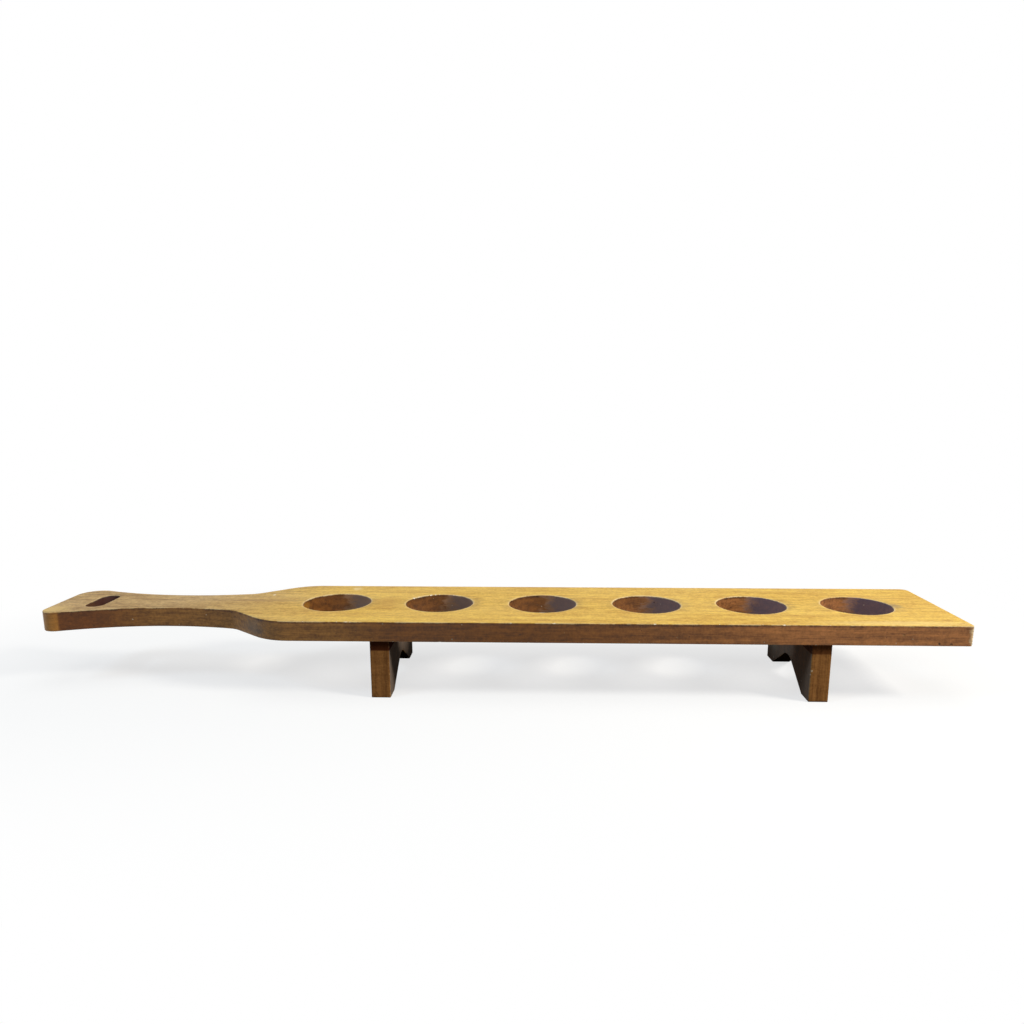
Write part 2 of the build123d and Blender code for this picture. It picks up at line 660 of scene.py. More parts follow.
class WoodEffects:
    """The patterns that the paddle's finishes share, each built once."""

    def __init__(self) -> None:
        """Build every group."""
        self.grain = self._grain()
        self.bare_edges = self._bare_edges()
        self.flecks = self._flecks()
        self.blotches = self._blotches()
        self.spot = self._spot()

    @staticmethod
    def _grain() -> bpy.types.NodeTree:
        """Growth rings, fibres and pores of wood whose fibres run along X.

        Returns:
            A group whose outputs are Rings, Streaks, Pores, Rays and Figure, each from 0 to 1.
        """
        effect = Effect(
            "wood_grain",
            {"Place": VECTOR, "Ring width": VALUE, "Waver": VALUE},
            ("Rings", "Streaks", "Pores", "Rays", "Figure"),
        )
        place = effect.taken["Place"]
        _, across, depth = effect.split(place)
        drift = effect.math("SUBTRACT", effect.noise(place, (1.3, 11.0, 11.0), 2.0), 0.5)
        ripple = effect.math("SUBTRACT", effect.noise(place, (7.0, 60.0, 60.0), 3.0), 0.5)
        sway = effect.math("MULTIPLY_ADD", ripple, 0.16, drift)
        bent = effect.math("MULTIPLY_ADD", sway, effect.taken["Waver"], effect.hypotenuse(across, depth))
        phase = effect.math("FRACT", effect.math("DIVIDE", bent, effect.taken["Ring width"]))
        late = effect.math("POWER", phase, 2.2)
        effect.give("Rings", effect.math("MULTIPLY", late, effect.ramp(phase, 1.0, 0.9)))

        fine = effect.noise(place, (26.0, 1300.0, 1300.0), 4.0, 0.6)
        broad = effect.noise(place, (6.0, 210.0, 210.0), 3.0, 0.55)
        effect.give("Streaks", effect.ramp(effect.weigh((fine, 0.5), (broad, 0.5)), 0.36, 0.64))

        dashes = effect.noise(place, (150.0, 2400.0, 2400.0), 1.0)
        effect.give("Pores", effect.ramp(dashes, 0.62, 0.72))
        effect.give("Rays", effect.ramp(effect.noise(place, (420.0, 300.0, 300.0), 2.0, 0.6), 0.36, 0.64))
        effect.give("Figure", effect.ramp(effect.noise(place, (2.6, 17.0, 17.0), 3.0), 0.3, 0.7))
        return effect.tree

    @staticmethod
    def _bare_edges() -> bpy.types.NodeTree:
        """Pale wood where handling has rubbed the finish off the edges.

        Returns:
            A group whose output Bare is 1 where the wood is bare.
        """
        effect = Effect("bare_edges", {"Place": VECTOR, "Edge": VALUE, "Amount": VALUE}, ("Bare",))
        place = effect.taken["Place"]
        patches = effect.ramp(effect.noise(place, (26.0, 26.0, 26.0), 4.0, 0.6), 0.38, 0.62)
        crumbs = effect.noise(place, (520.0, 520.0, 520.0), 2.0)
        rubbed = effect.math("MULTIPLY", effect.taken["Edge"], effect.weigh((patches, 0.5), (crumbs, 1.1)))
        effect.give("Bare", effect.math("MULTIPLY", effect.ramp(rubbed, 0.5, 0.95), effect.taken["Amount"]))
        return effect.tree

    @staticmethod
    def _flecks() -> bpy.types.NodeTree:
        """Stray pale specks and dark pits, ragged and of uneven size.

        Returns:
            A group whose outputs Pale and Dark are 1 on a speck.
        """
        effect = Effect("flecks", {"Place": VECTOR, "Spacing": VALUE}, ("Pale", "Dark"))
        place = effect.taken["Place"]
        density = effect.math("DIVIDE", 1.0, effect.taken["Spacing"])
        scaled = effect.add("ShaderNodeVectorMath", operation="SCALE")
        effect.feed(scaled.inputs[0], place)
        effect.feed(scaled.inputs["Scale"], density)
        cells = effect.add("ShaderNodeTexVoronoi", voronoi_dimensions="3D", feature="F1")
        cells.inputs["Scale"].default_value = 1.0
        effect.feed(cells.inputs["Vector"], scaled.outputs[0])
        lot, other_lot, third_lot = effect.split(cells.outputs["Color"])
        ragged = effect.math("SUBTRACT", effect.noise(place, (900.0, 1500.0, 1500.0), 2.0, 0.6), 0.5)
        reach = effect.math("MULTIPLY_ADD", ragged, 0.09, cells.outputs["Distance"])
        size = effect.math("MULTIPLY_ADD", effect.math("POWER", third_lot, 3.0), 0.14, 0.045)
        spot = effect.ramp(effect.math("DIVIDE", reach, size), 1.0, 0.6)
        effect.give("Pale", effect.math("MULTIPLY", spot, effect.math("GREATER_THAN", lot, 0.8)))
        effect.give("Dark", effect.math("MULTIPLY", spot, effect.math("LESS_THAN", other_lot, 0.35)))
        return effect.tree

    @staticmethod
    def _blotches() -> bpy.types.NodeTree:
        """Soft uneven patches, as stain and handling leave them.

        Returns:
            A group whose outputs Broad, Middling and Small are from 0 to 1.
        """
        effect = Effect("blotches", {"Place": VECTOR}, ("Broad", "Middling", "Small"))
        place = effect.taken["Place"]
        effect.give("Broad", effect.ramp(effect.noise(place, (7.0, 14.0, 14.0), 3.0), 0.32, 0.68))
        effect.give("Middling", effect.ramp(effect.noise(place, (14.0, 90.0, 90.0), 4.0, 0.6), 0.34, 0.66))
        effect.give("Small", effect.ramp(effect.noise(place, (90.0, 260.0, 260.0), 4.0, 0.65), 0.35, 0.65))
        return effect.tree

    @staticmethod
    def _spot() -> bpy.types.NodeTree:
        """One ragged spot at a chosen place.

        Returns:
            A group whose output Spot is 1 in the middle of the spot and 0 outside it.
        """
        effect = Effect("spot", {"Place": VECTOR, "Middle": VECTOR, "Half": VECTOR}, ("Spot",))
        place = effect.taken["Place"]
        away = effect.vectors("SUBTRACT", place, effect.taken["Middle"])
        across, along, up = effect.split(effect.vectors("DIVIDE", away, effect.taken["Half"]))
        reach = effect.hypotenuse(effect.hypotenuse(across, along), up)
        ragged = effect.math("SUBTRACT", effect.noise(place, (260.0, 420.0, 420.0), 3.0, 0.6), 0.5)
        effect.give("Spot", effect.ramp(effect.math("MULTIPLY_ADD", ragged, 1.3, reach), 1.0, 0.3))
        return effect.tree


@dataclass(frozen=True)
class Spot:
    """A mark on a finish: its middle and half sizes in millimetres, its colour and its strength."""

    middle: Triple
    half: Triple
    colour: Colour
    strength: float


@dataclass(frozen=True)
class Grain:
    """How the grain lies in a piece: a point on the pith, a turn, the rings' width and their waver."""

    pith: Triple
    turn: Triple
    ring_width: float
    waver: float


class FinishSheet(NodeSheet):
    """A material with its shader."""

    def __init__(self, name: str) -> None:
        """Start the material.

        Args:
            name: Name of the material.
        """
        self.material = bpy.data.materials.new(name)
        self.material.use_nodes = True
        super().__init__(self.material.node_tree)
        self.shader = self.tree.nodes["Principled BSDF"]

    def plug(self, name: str, source: Feed) -> None:
        """Wire or set one of the shader's inputs."""
        self.feed(self.shader.inputs[name], source)


class WoodSheet(FinishSheet):
    """A wooden finish with the shared patterns placed in it."""

    def __init__(self, name: str, effects: WoodEffects, grain: Grain) -> None:
        """Start the material and place its grain and blotches.

        Args:
            name: Name of the material.
            effects: Shared patterns.
            grain: How the grain lies in the piece.
        """
        super().__init__(name)
        self.effects = effects
        coordinates = self.add("ShaderNodeTexCoord")
        self.here = coordinates.outputs["Object"]
        self.x, self.y, self.z = self.split(self.here)
        self.facing_x, _, self.facing_up = self.split(coordinates.outputs["Normal"])
        self.grain = self.effect(
            effects.grain,
            place=self.place(self.here, grain.pith, grain.turn),
            ring_width=grain.ring_width,
            waver=grain.waver,
        )
        self.blotches = self.effect(effects.blotches, place=self.here)

    def stored(self, name: str) -> Socket:
        """Read a value that is stored on the mesh."""
        return self.add("ShaderNodeAttribute", attribute_name=name).outputs["Fac"]

    def flecks(self, spacing: float) -> bpy.types.NodeOutputs:
        """Place stray specks about a given distance apart."""
        return self.effect(self.effects.flecks, place=self.here, spacing=spacing)

    def bare_edges(self, amount: Feed) -> Socket:
        """Mask of the edges that handling has bared, where amount is the most that shows."""
        edge = self.stored(ARRIS)
        return self.effect(self.effects.bare_edges, place=self.here, edge=edge, amount=amount)["Bare"]

    def bites(self, colour: Socket, dent: Colour, fresh: Colour, fresh_share: float) -> Socket:
        """Colour the bites that were knocked out of the piece.

        Args:
            colour: Colour of the whole piece.
            dent: Colour of an old dent.
            fresh: Colour of a fresh chip.
            fresh_share: How much of it shows.

        Returns:
            The colour with the bites in it.
        """
        chip = self.stored(CHIP)
        old, new = Age.OLD.value, Age.FRESH.value
        colour = self.tint(colour, dent, self.ramp(chip, 0.0, old, 0.0, 0.6))
        return self.tint(colour, fresh, self.ramp(chip, old, new, 0.0, fresh_share))

    def daub(self, colour: Socket, spots: Sequence[Spot]) -> Socket:
        """Put marks on a colour.

        Args:
            colour: Colour under the marks.
            spots: The marks, in order.

        Returns:
            The marked colour.
        """
        for spot in spots:
            middle = Vector(spot.middle) * MM
            half = Vector(spot.half) * MM
            mask = self.effect(self.effects.spot, place=self.here, middle=middle, half=half)["Spot"]
            colour = self.tint(colour, spot.colour, mask, spot.strength)
        return colour

    def add_relief(self, height: Socket, strength: float) -> None:
        """Raise and sink the surface a little.

        Args:
            height: Height of the surface, where 1 is RELIEF_STEP.
            strength: How much of it shows.
        """
        bump = self.add("ShaderNodeBump")
        bump.inputs["Strength"].default_value = strength
        bump.inputs["Distance"].default_value = RELIEF_STEP
        self.feed(bump.inputs["Height"], height)
        self.plug("Normal", bump.outputs[0])


@dataclass(frozen=True)
class PlankFinish:
    """Golden worn top, tan handle, and dark brown edges and hole walls, with painted light and shade on the
    edges, the slot and the hole walls.

    A zone is the pair of places along X between which one colour gives way to the next. A band is the
    pair of distances, from the wall of a hole or from the top face, between which a mask comes or goes.
    """

    gold: Colour = tone(240, 200, 92)
    gold_dark: Colour = tone(188, 138, 52)
    handle: Colour = tone(212, 176, 117)
    handle_dark: Colour = tone(134, 99, 55)
    edge_handle: Colour = tone(134, 80, 36)
    edge_neck: Colour = tone(190, 134, 70)
    # The edges lighten from edge_left to edge_right towards the square end: painted light falloff from the
    # lamp on the right
    edge_left: Colour = tone(154, 98, 44)
    edge_right: Colour = tone(208, 138, 80)
    edge_dark: Colour = tone(66, 36, 16)
    handle_end_colour: Colour = tone(206, 142, 68)
    # Painted shade inside the slot, darker and greyer at its far end
    slot_near: Colour = tone(96, 65, 42)
    slot_far: Colour = tone(69, 44, 47)
    # Grey-blue painted cool light and reflection on the hole walls, on their side towards the square end
    wall_cool_light_left: Colour = tone(166, 140, 126)
    wall_cool_light_right: Colour = tone(126, 114, 134)
    # Pale band of painted light on the hole walls, where the grey painted light begins
    wall_light_band: Colour = tone(224, 166, 112)
    bare: Colour = tone(240, 214, 158)
    fresh: Colour = tone(250, 238, 212)
    dent: Colour = tone(62, 34, 18)
    smudge: Colour = tone(120, 96, 66)
    pale_speck: Colour = tone(236, 222, 194)
    dark_speck: Colour = tone(48, 28, 16)
    spots: tuple[Spot, ...] = (
        Spot((404.0, -1.0, 76.5), (8.0, 10.0, 3.0), tone(140, 118, 84), 0.6),
        Spot((427.5, -53.0, 76.5), (9.0, 2.6, 3.0), tone(164, 106, 44), 0.55),
        # Grey painted shade on the near side of the shoulder
        Spot((-230.0, -57.0, 66.0), (24.0, 20.0, 12.0), tone(92, 80, 66), 0.5),
        Spot((-221.5, -62.0, 63.5), (9.0, 9.0, 4.0), tone(44, 28, 18), 0.6),
        Spot((-234.5, 28.0, 76.5), (2.0, 2.8, 1.5), tone(250, 244, 226), 0.9),
        Spot((-135.5, -70.0, 76.5), (3.4, 1.2, 1.0), tone(250, 236, 206), 0.8),
        Spot((445.5, -69.0, 67.5), (6.5, 5.0, 14.0), tone(240, 214, 166), 0.7),
        Spot((-107.5, 0.0, 76.5), (24.0, 34.0, 3.0), tone(176, 126, 50), 0.4),
        Spot((380.0, -62.0, 76.5), (100.0, 10.0, 3.0), tone(252, 222, 146), 0.45),
        Spot((-437.0, -34.0, 76.5), (20.0, 16.0, 3.0), tone(232, 196, 122), 0.6),
        Spot((-228.0, 5.0, 76.5), (46.0, 7.0, 3.0), tone(150, 112, 68), 0.5),
        Spot((-152.0, 56.0, 76.5), (7.0, 9.0, 3.0), tone(246, 222, 170), 0.5),
        # A golden patch of painted light on the first hole's wall, at its end towards the handle
        Spot((-194.0, 0.0, 69.0), (8.0, 15.0, 9.0), tone(196, 136, 44), 0.6),
    )
    grain: Grain = Grain((0.0, -0.035, -0.02), (0.0, 0.006, 0.011), ring_width=0.0062, waver=0.012)
    fleck_spacing: float = 5 * MM
    top_facing: Pair = (0.35, 0.85)
    tan_zone: Pair = (-0.1, -0.3)
    right_zone: Pair = (0.02, 0.34)
    neck_zone: Pair = (-0.08, -0.16)
    handle_zone: Pair = (-0.33, -0.4)
    end_zone: Pair = (-0.4244, -0.4274)
    slot_along: Pair = (14 * MM, 12 * MM)
    slot_across: Pair = (28 * MM, 25 * MM)
    slot_shade: Pair = (-12 * MM, 12 * MM)
    below_top_band: Pair = (-3.2 * MM, -1.4 * MM)
    wall_band: Pair = (0.6 * MM, 0.3 * MM)
    bare_band: Pair = (1.5 * MM, 3 * MM)
    rim_band: Pair = (2.6 * MM, 1.2 * MM)
    grime_and_shadow_band: Pair = (16 * MM, 0.0)

    def material(self, effects: WoodEffects, plank: "Plank") -> bpy.types.Material:
        """Build the plank's material.

        Args:
            effects: Shared patterns.
            plank: The piece, for the places of its holes and faces.

        Returns:
            The material.
        """
        sheet = WoodSheet("plank_wood", effects, self.grain)
        flecks = sheet.flecks(self.fleck_spacing)
        top = sheet.ramp(sheet.facing_up, *self.top_facing)
        beside, reach = self._from_hole(sheet, plank)
        from_wall = sheet.math("SUBTRACT", reach, plank.hole_radius)
        wall = sheet.ramp(from_wall, *self.wall_band)
        share = sheet.math("DIVIDE", beside, reach)

        colour = self._side_colour(sheet, plank, wall)
        colour = sheet.mix(top, colour, self._top_colour(sheet))
        # Painted cool light and reflection on the hole walls, with a pale band of painted light
        colour = self._paint_wall_light(sheet, plank, wall, share, colour)
        colour = sheet.tint(colour, self.smudge, self._rim_grime(sheet, from_wall, share), top)
        colour = sheet.tint(colour, self.dark_speck, sheet.grain["Pores"], 0.3)
        colour = self._worn(sheet, plank, from_wall, top, colour)
        seen = sheet.ramp(top, 0.0, 1.0, 0.7, 0.15)
        colour = sheet.tint(colour, self.pale_speck, flecks["Pale"], seen)
        colour = sheet.tint(colour, self.dark_speck, flecks["Dark"], seen)
        sheet.plug("Base Color", sheet.daub(colour, self.spots))

        rough = sheet.ramp(top, 0.0, 1.0, 0.4, 0.58)
        sheet.plug("Roughness", sheet.math("MULTIPLY_ADD", sheet.blotches["Broad"], 0.1, rough))
        sheet.plug("Specular IOR Level", 0.36)
        relief = sheet.weigh(
            (sheet.grain["Streaks"], 0.5), (sheet.grain["Pores"], -1.0), (flecks["Dark"], -2.0)
        )
        sheet.add_relief(relief, 0.35)
        return sheet.material

    def _top_colour(self, sheet: WoodSheet) -> Socket:
        """Colour of the top face: gold over the holes and tan on the handle.

        Args:
            sheet: Sheet to add to.

        Returns:
            The colour.
        """
        held = sheet.ramp(sheet.weigh((sheet.grain["Figure"], 0.05), (sheet.x, 1.0)), *self.tan_zone)
        light = sheet.mix(held, self.gold, self.handle)
        dark = sheet.mix(held, self.gold_dark, self.handle_dark)
        lines = sheet.weigh(
            (sheet.grain["Rings"], 0.14),
            (sheet.grain["Streaks"], 0.26),
            (sheet.blotches["Broad"], 0.16),
            (sheet.blotches["Middling"], 0.34),
            (sheet.blotches["Small"], 0.36),
            (sheet.grain["Rays"], 0.26),
        )
        return sheet.mix(sheet.math("SUBTRACT", lines, 0.26), light, dark)

    def _side_colour(self, sheet: WoodSheet, plank: "Plank", wall: Socket) -> Socket:
        """Colour of the edges and walls: browns that change along the plank, lighter towards the square end
        by painted light, darker just below the top, and painted shade in the slot.

        Args:
            sheet: Sheet to add to.
            plank: The piece, for its height and its slot.
            wall: Mask of the hole walls.

        Returns:
            The colour.
        """
        # Lighter towards the square end: painted light falloff from the lamp on the right
        light = sheet.mix(sheet.ramp(sheet.x, *self.right_zone), self.edge_left, self.edge_right)
        outside = sheet.math("SUBTRACT", 1.0, wall)
        light = sheet.tint(light, self.edge_neck, sheet.ramp(sheet.x, *self.neck_zone), outside)
        light = sheet.tint(light, self.edge_handle, sheet.ramp(sheet.x, *self.handle_zone))
        at_end = sheet.ramp(sheet.x, *self.end_zone)
        light = sheet.tint(light, self.handle_end_colour, at_end)
        stain = sheet.weigh(
            (sheet.grain["Streaks"], 0.5),
            (sheet.blotches["Small"], 0.3),
            (sheet.blotches["Middling"], 0.2),
            (sheet.grain["Rays"], 0.2),
        )
        stain = sheet.math("SUBTRACT", stain, 0.1)
        stain = sheet.math("MULTIPLY", stain, sheet.ramp(at_end, 0.0, 1.0, 0.85, 0.4))
        below_top = sheet.math("SUBTRACT", sheet.z, plank.high.z)
        darkening = sheet.math("ADD", stain, sheet.ramp(below_top, *self.below_top_band, 0.0, 0.3))
        colour = sheet.mix(darkening, light, self.edge_dark)
        # Painted shade on the walls of the slot
        from_slot = sheet.math("ABSOLUTE", sheet.math("SUBTRACT", sheet.x, plank.slot_x))
        along = sheet.ramp(from_slot, *self.slot_along)
        across = sheet.ramp(sheet.math("ABSOLUTE", sheet.y), *self.slot_across, 0.0, 0.75)
        slot_shade_colour = sheet.mix(sheet.ramp(sheet.y, *self.slot_shade), self.slot_near, self.slot_far)
        return sheet.tint(colour, slot_shade_colour, along, across)

    def _paint_wall_light(
        self, sheet: WoodSheet, plank: "Plank", wall: Socket, share: Socket, colour: Socket
    ) -> Socket:
        """Paint grey on the hole walls on the side of the square end, as painted cool light and reflection,
        with a pale band of painted light where the grey starts.

        Args:
            sheet: Sheet to add to.
            plank: The piece, for the places of its holes.
            wall: Mask of the hole walls.
            share: Way from a hole's axis, from -1 towards the handle to 1 towards the square end.
            colour: Colour of the whole piece.

        Returns:
            The colour with the painted light on the walls.
        """
        share = sheet.math("MULTIPLY_ADD", sheet.blotches["Small"], 0.24, share)
        # A pale band of painted light where the grey begins
        rubbed = sheet.ramp(share, 0.62, 0.34, 0.0, 0.4)
        colour = sheet.tint(colour, self.wall_light_band, wall, sheet.ramp(share, 0.05, 0.3), rubbed)
        # Grey-blue painted cool light and reflection, bluer towards the square end
        along = sheet.ramp(sheet.x, plank.hole_xs[0], plank.hole_xs[-1])
        cool_light = sheet.mix(along, self.wall_cool_light_left, self.wall_cool_light_right)
        return sheet.tint(colour, cool_light, wall, sheet.ramp(share, 0.02, 0.62, 0.0, 0.7))

    def _worn(
        self, sheet: WoodSheet, plank: "Plank", from_wall: Socket, top: Socket, colour: Socket
    ) -> Socket:
        """Bare the edges, most of all the rims of the holes, and colour the chips and dents.

        Args:
            sheet: Sheet to add to.
            plank: The piece, for its height.
            from_wall: Distance from the wall of the nearest hole.
            top: Mask of the top face.
            colour: Colour of the unworn piece.

        Returns:
            The worn colour.
        """
        amount = sheet.math(
            "MULTIPLY",
            sheet.ramp(from_wall, *self.bare_band, 0.8, 0.4),
            sheet.ramp(sheet.z, plank.low.z, plank.high.z, 0.2, 1.0),
        )
        rim = sheet.math("MULTIPLY", sheet.ramp(from_wall, *self.rim_band, 0.0, 0.3), top)
        colour = sheet.tint(colour, self.bare, sheet.math("MAXIMUM", sheet.bare_edges(amount), rim))
        return sheet.bites(colour, self.dent, self.fresh, 0.9)

    @staticmethod
    def _from_hole(sheet: WoodSheet, plank: "Plank") -> tuple[Socket, Socket]:
        """Measure from the axis of the nearest hole.

        Args:
            sheet: Sheet to add to.
            plank: The piece, for the places of its holes.

        Returns:
            The distance along the plank, with its sign, and the whole distance.
        """
        steps = sheet.math("DIVIDE", sheet.math("SUBTRACT", sheet.x, plank.hole_xs[0]), plank.hole_pitch)
        nearest = sheet.math("MAXIMUM", sheet.math("ROUND", steps), 0.0)
        nearest = sheet.math("MINIMUM", nearest, plank.hole_count - 1.0)
        beside = sheet.math("MULTIPLY", sheet.math("SUBTRACT", steps, nearest), plank.hole_pitch)
        return beside, sheet.hypotenuse(beside, sheet.y)

    def _rim_grime(self, sheet: WoodSheet, from_wall: Socket, share: Socket) -> Socket:
        """Faint grime that glasses leave beside the rims, more of it on the side of the square end.

        Args:
            sheet: Sheet to add to.
            from_wall: Distance from the wall of the nearest hole.
            share: Way from a hole's axis, from -1 towards the handle to 1 towards the square end.

        Returns:
            A mask of the grime.
        """
        right = sheet.ramp(share, 0.6, 1.0, 0.0, 0.42)
        left = sheet.ramp(share, -0.75, -1.0, 0.0, 0.22)
        ring = sheet.ramp(from_wall, *self.grime_and_shadow_band)
        grime = sheet.math("MULTIPLY", ring, sheet.math("ADD", right, left))
        return sheet.math("MULTIPLY", grime, sheet.math("MULTIPLY_ADD", sheet.blotches["Small"], 0.7, 0.3))


@dataclass(frozen=True)
class LegFinish:
    """Dark brown stain on wood whose fibres stand upright, with painted shade on the broad faces, on the
    undersides and in a band under the plank, and a patch of painted light.
    """

    stain: Colour = tone(186, 128, 72)
    stain_dark: Colour = tone(90, 54, 27)
    # Painted shade: grey on the broad faces, near black on the undersides, and a dark band of shadow under
    # the plank
    broad_face_shade: Colour = tone(114, 114, 110)
    underside_shade: Colour = tone(24, 17, 15)
    joint_shadow: Colour = tone(66, 22, 14)
    bare: Colour = tone(206, 162, 108)
    dent: Colour = tone(56, 32, 18)
    pale_speck: Colour = tone(230, 216, 190)
    dark_speck: Colour = tone(40, 24, 14)
    spots: tuple[Spot, ...] = (
        Spot((301.5, -67.0, 31.0), (1.2, 1.2, 1.4), tone(236, 214, 176), 0.7),
        # A pale grey patch of painted light on the far part of the square end leg's inner face
        Spot((300.0, 54.0, 40.0), (4.0, 32.0, 34.0), tone(176, 172, 152), 0.6),
    )
    grain: Grain = Grain((-0.05, 0.11, 0.0), UPRIGHT_FIBRES, ring_width=0.0045, waver=0.008)
    fleck_spacing: float = 7 * MM
    # Where and how strongly the painted shadow band under the plank shows
    joint_shadow_zone: Pair = (-0.1, 0.3)
    grime_and_shadow_band: Pair = (-10.5 * MM, -9 * MM)

    def material(self, effects: WoodEffects, joint_height: float) -> bpy.types.Material:
        """Build the legs' material.

        Args:
            effects: Shared patterns.
            joint_height: Height at which the legs meet the plank.

        Returns:
            The material.
        """
        sheet = WoodSheet("leg_wood", effects, self.grain)
        end_grain = sheet.ramp(sheet.math("ABSOLUTE", sheet.facing_up), 0.5, 0.95)
        stain = sheet.weigh(
            (sheet.grain["Streaks"], 0.4),
            (sheet.grain["Rings"], 0.25),
            (sheet.blotches["Small"], 0.15),
            (sheet.blotches["Middling"], 0.15),
            (sheet.grain["Rays"], 0.16),
            (end_grain, 0.3),
        )
        colour = sheet.mix(sheet.math("SUBTRACT", stain, 0.08), self.stain, self.stain_dark)
        # Grey painted shade on the broad faces under the plank
        broad = sheet.ramp(sheet.math("ABSOLUTE", sheet.facing_x), 0.5, 0.9, 0.0, 0.7)
        colour = sheet.tint(colour, self.broad_face_shade, broad)
        # Near black painted shade on the faces that look down
        colour = sheet.tint(colour, self.underside_shade, sheet.ramp(sheet.facing_up, -0.3, -0.6, 0.0, 0.9))
        # A dark band of painted shadow under the plank's overhang, strongest on the handle leg
        below_joint = sheet.math("SUBTRACT", sheet.z, joint_height)
        shadowed = sheet.ramp(below_joint, *self.grime_and_shadow_band)
        shadow_strength = sheet.ramp(sheet.x, *self.joint_shadow_zone, 0.88, 0.7)
        colour = sheet.tint(colour, self.joint_shadow, shadowed, shadow_strength)
        colour = sheet.tint(colour, self.dark_speck, sheet.grain["Pores"], 0.35)
        colour = sheet.tint(colour, self.bare, sheet.bare_edges(0.4))
        colour = sheet.bites(colour, self.dent, self.bare, 0.6)
        colour = sheet.tint(colour, self.pale_speck, sheet.flecks(self.fleck_spacing)["Pale"], 0.5)
        sheet.plug("Base Color", sheet.daub(colour, self.spots))

        sheet.plug("Roughness", sheet.math("MULTIPLY_ADD", sheet.blotches["Small"], 0.16, 0.6))
        sheet.plug("Specular IOR Level", 0.0)
        sheet.add_relief(sheet.weigh((sheet.grain["Streaks"], 0.5), (sheet.grain["Pores"], -1.0)), 0.4)
        return sheet.material


@dataclass(frozen=True)
class DowelFinish:
    """Raw pale wood with short fibres."""

    wood: Colour = tone(222, 192, 150)
    wood_dark: Colour = tone(188, 150, 106)
    grain: Grain = Grain((0.02, 0.03, 0.0), UPRIGHT_FIBRES, ring_width=0.0021, waver=0.002)

    def material(self, effects: WoodEffects) -> bpy.types.Material:
        """Build the dowels' material.

        Args:
            effects: Shared patterns.

        Returns:
            The material.
        """
        sheet = WoodSheet("dowel_wood", effects, self.grain)
        shade = sheet.weigh((sheet.grain["Streaks"], 0.5), (sheet.grain["Rings"], 0.4))
        sheet.plug("Base Color", sheet.mix(shade, self.wood, self.wood_dark))
        sheet.plug("Roughness", sheet.math("MULTIPLY_ADD", sheet.blotches["Small"], 0.15, 0.62))
        sheet.add_relief(sheet.grain["Streaks"], 0.2)
        return sheet.material


# Sub-assemblies


@dataclass(frozen=True)
class HandleSide:
    """One side of the handle: a run along its end, then arcs with a radius, a turn and the run after it."""

    end_run: float
    arcs: tuple[Triple, ...]


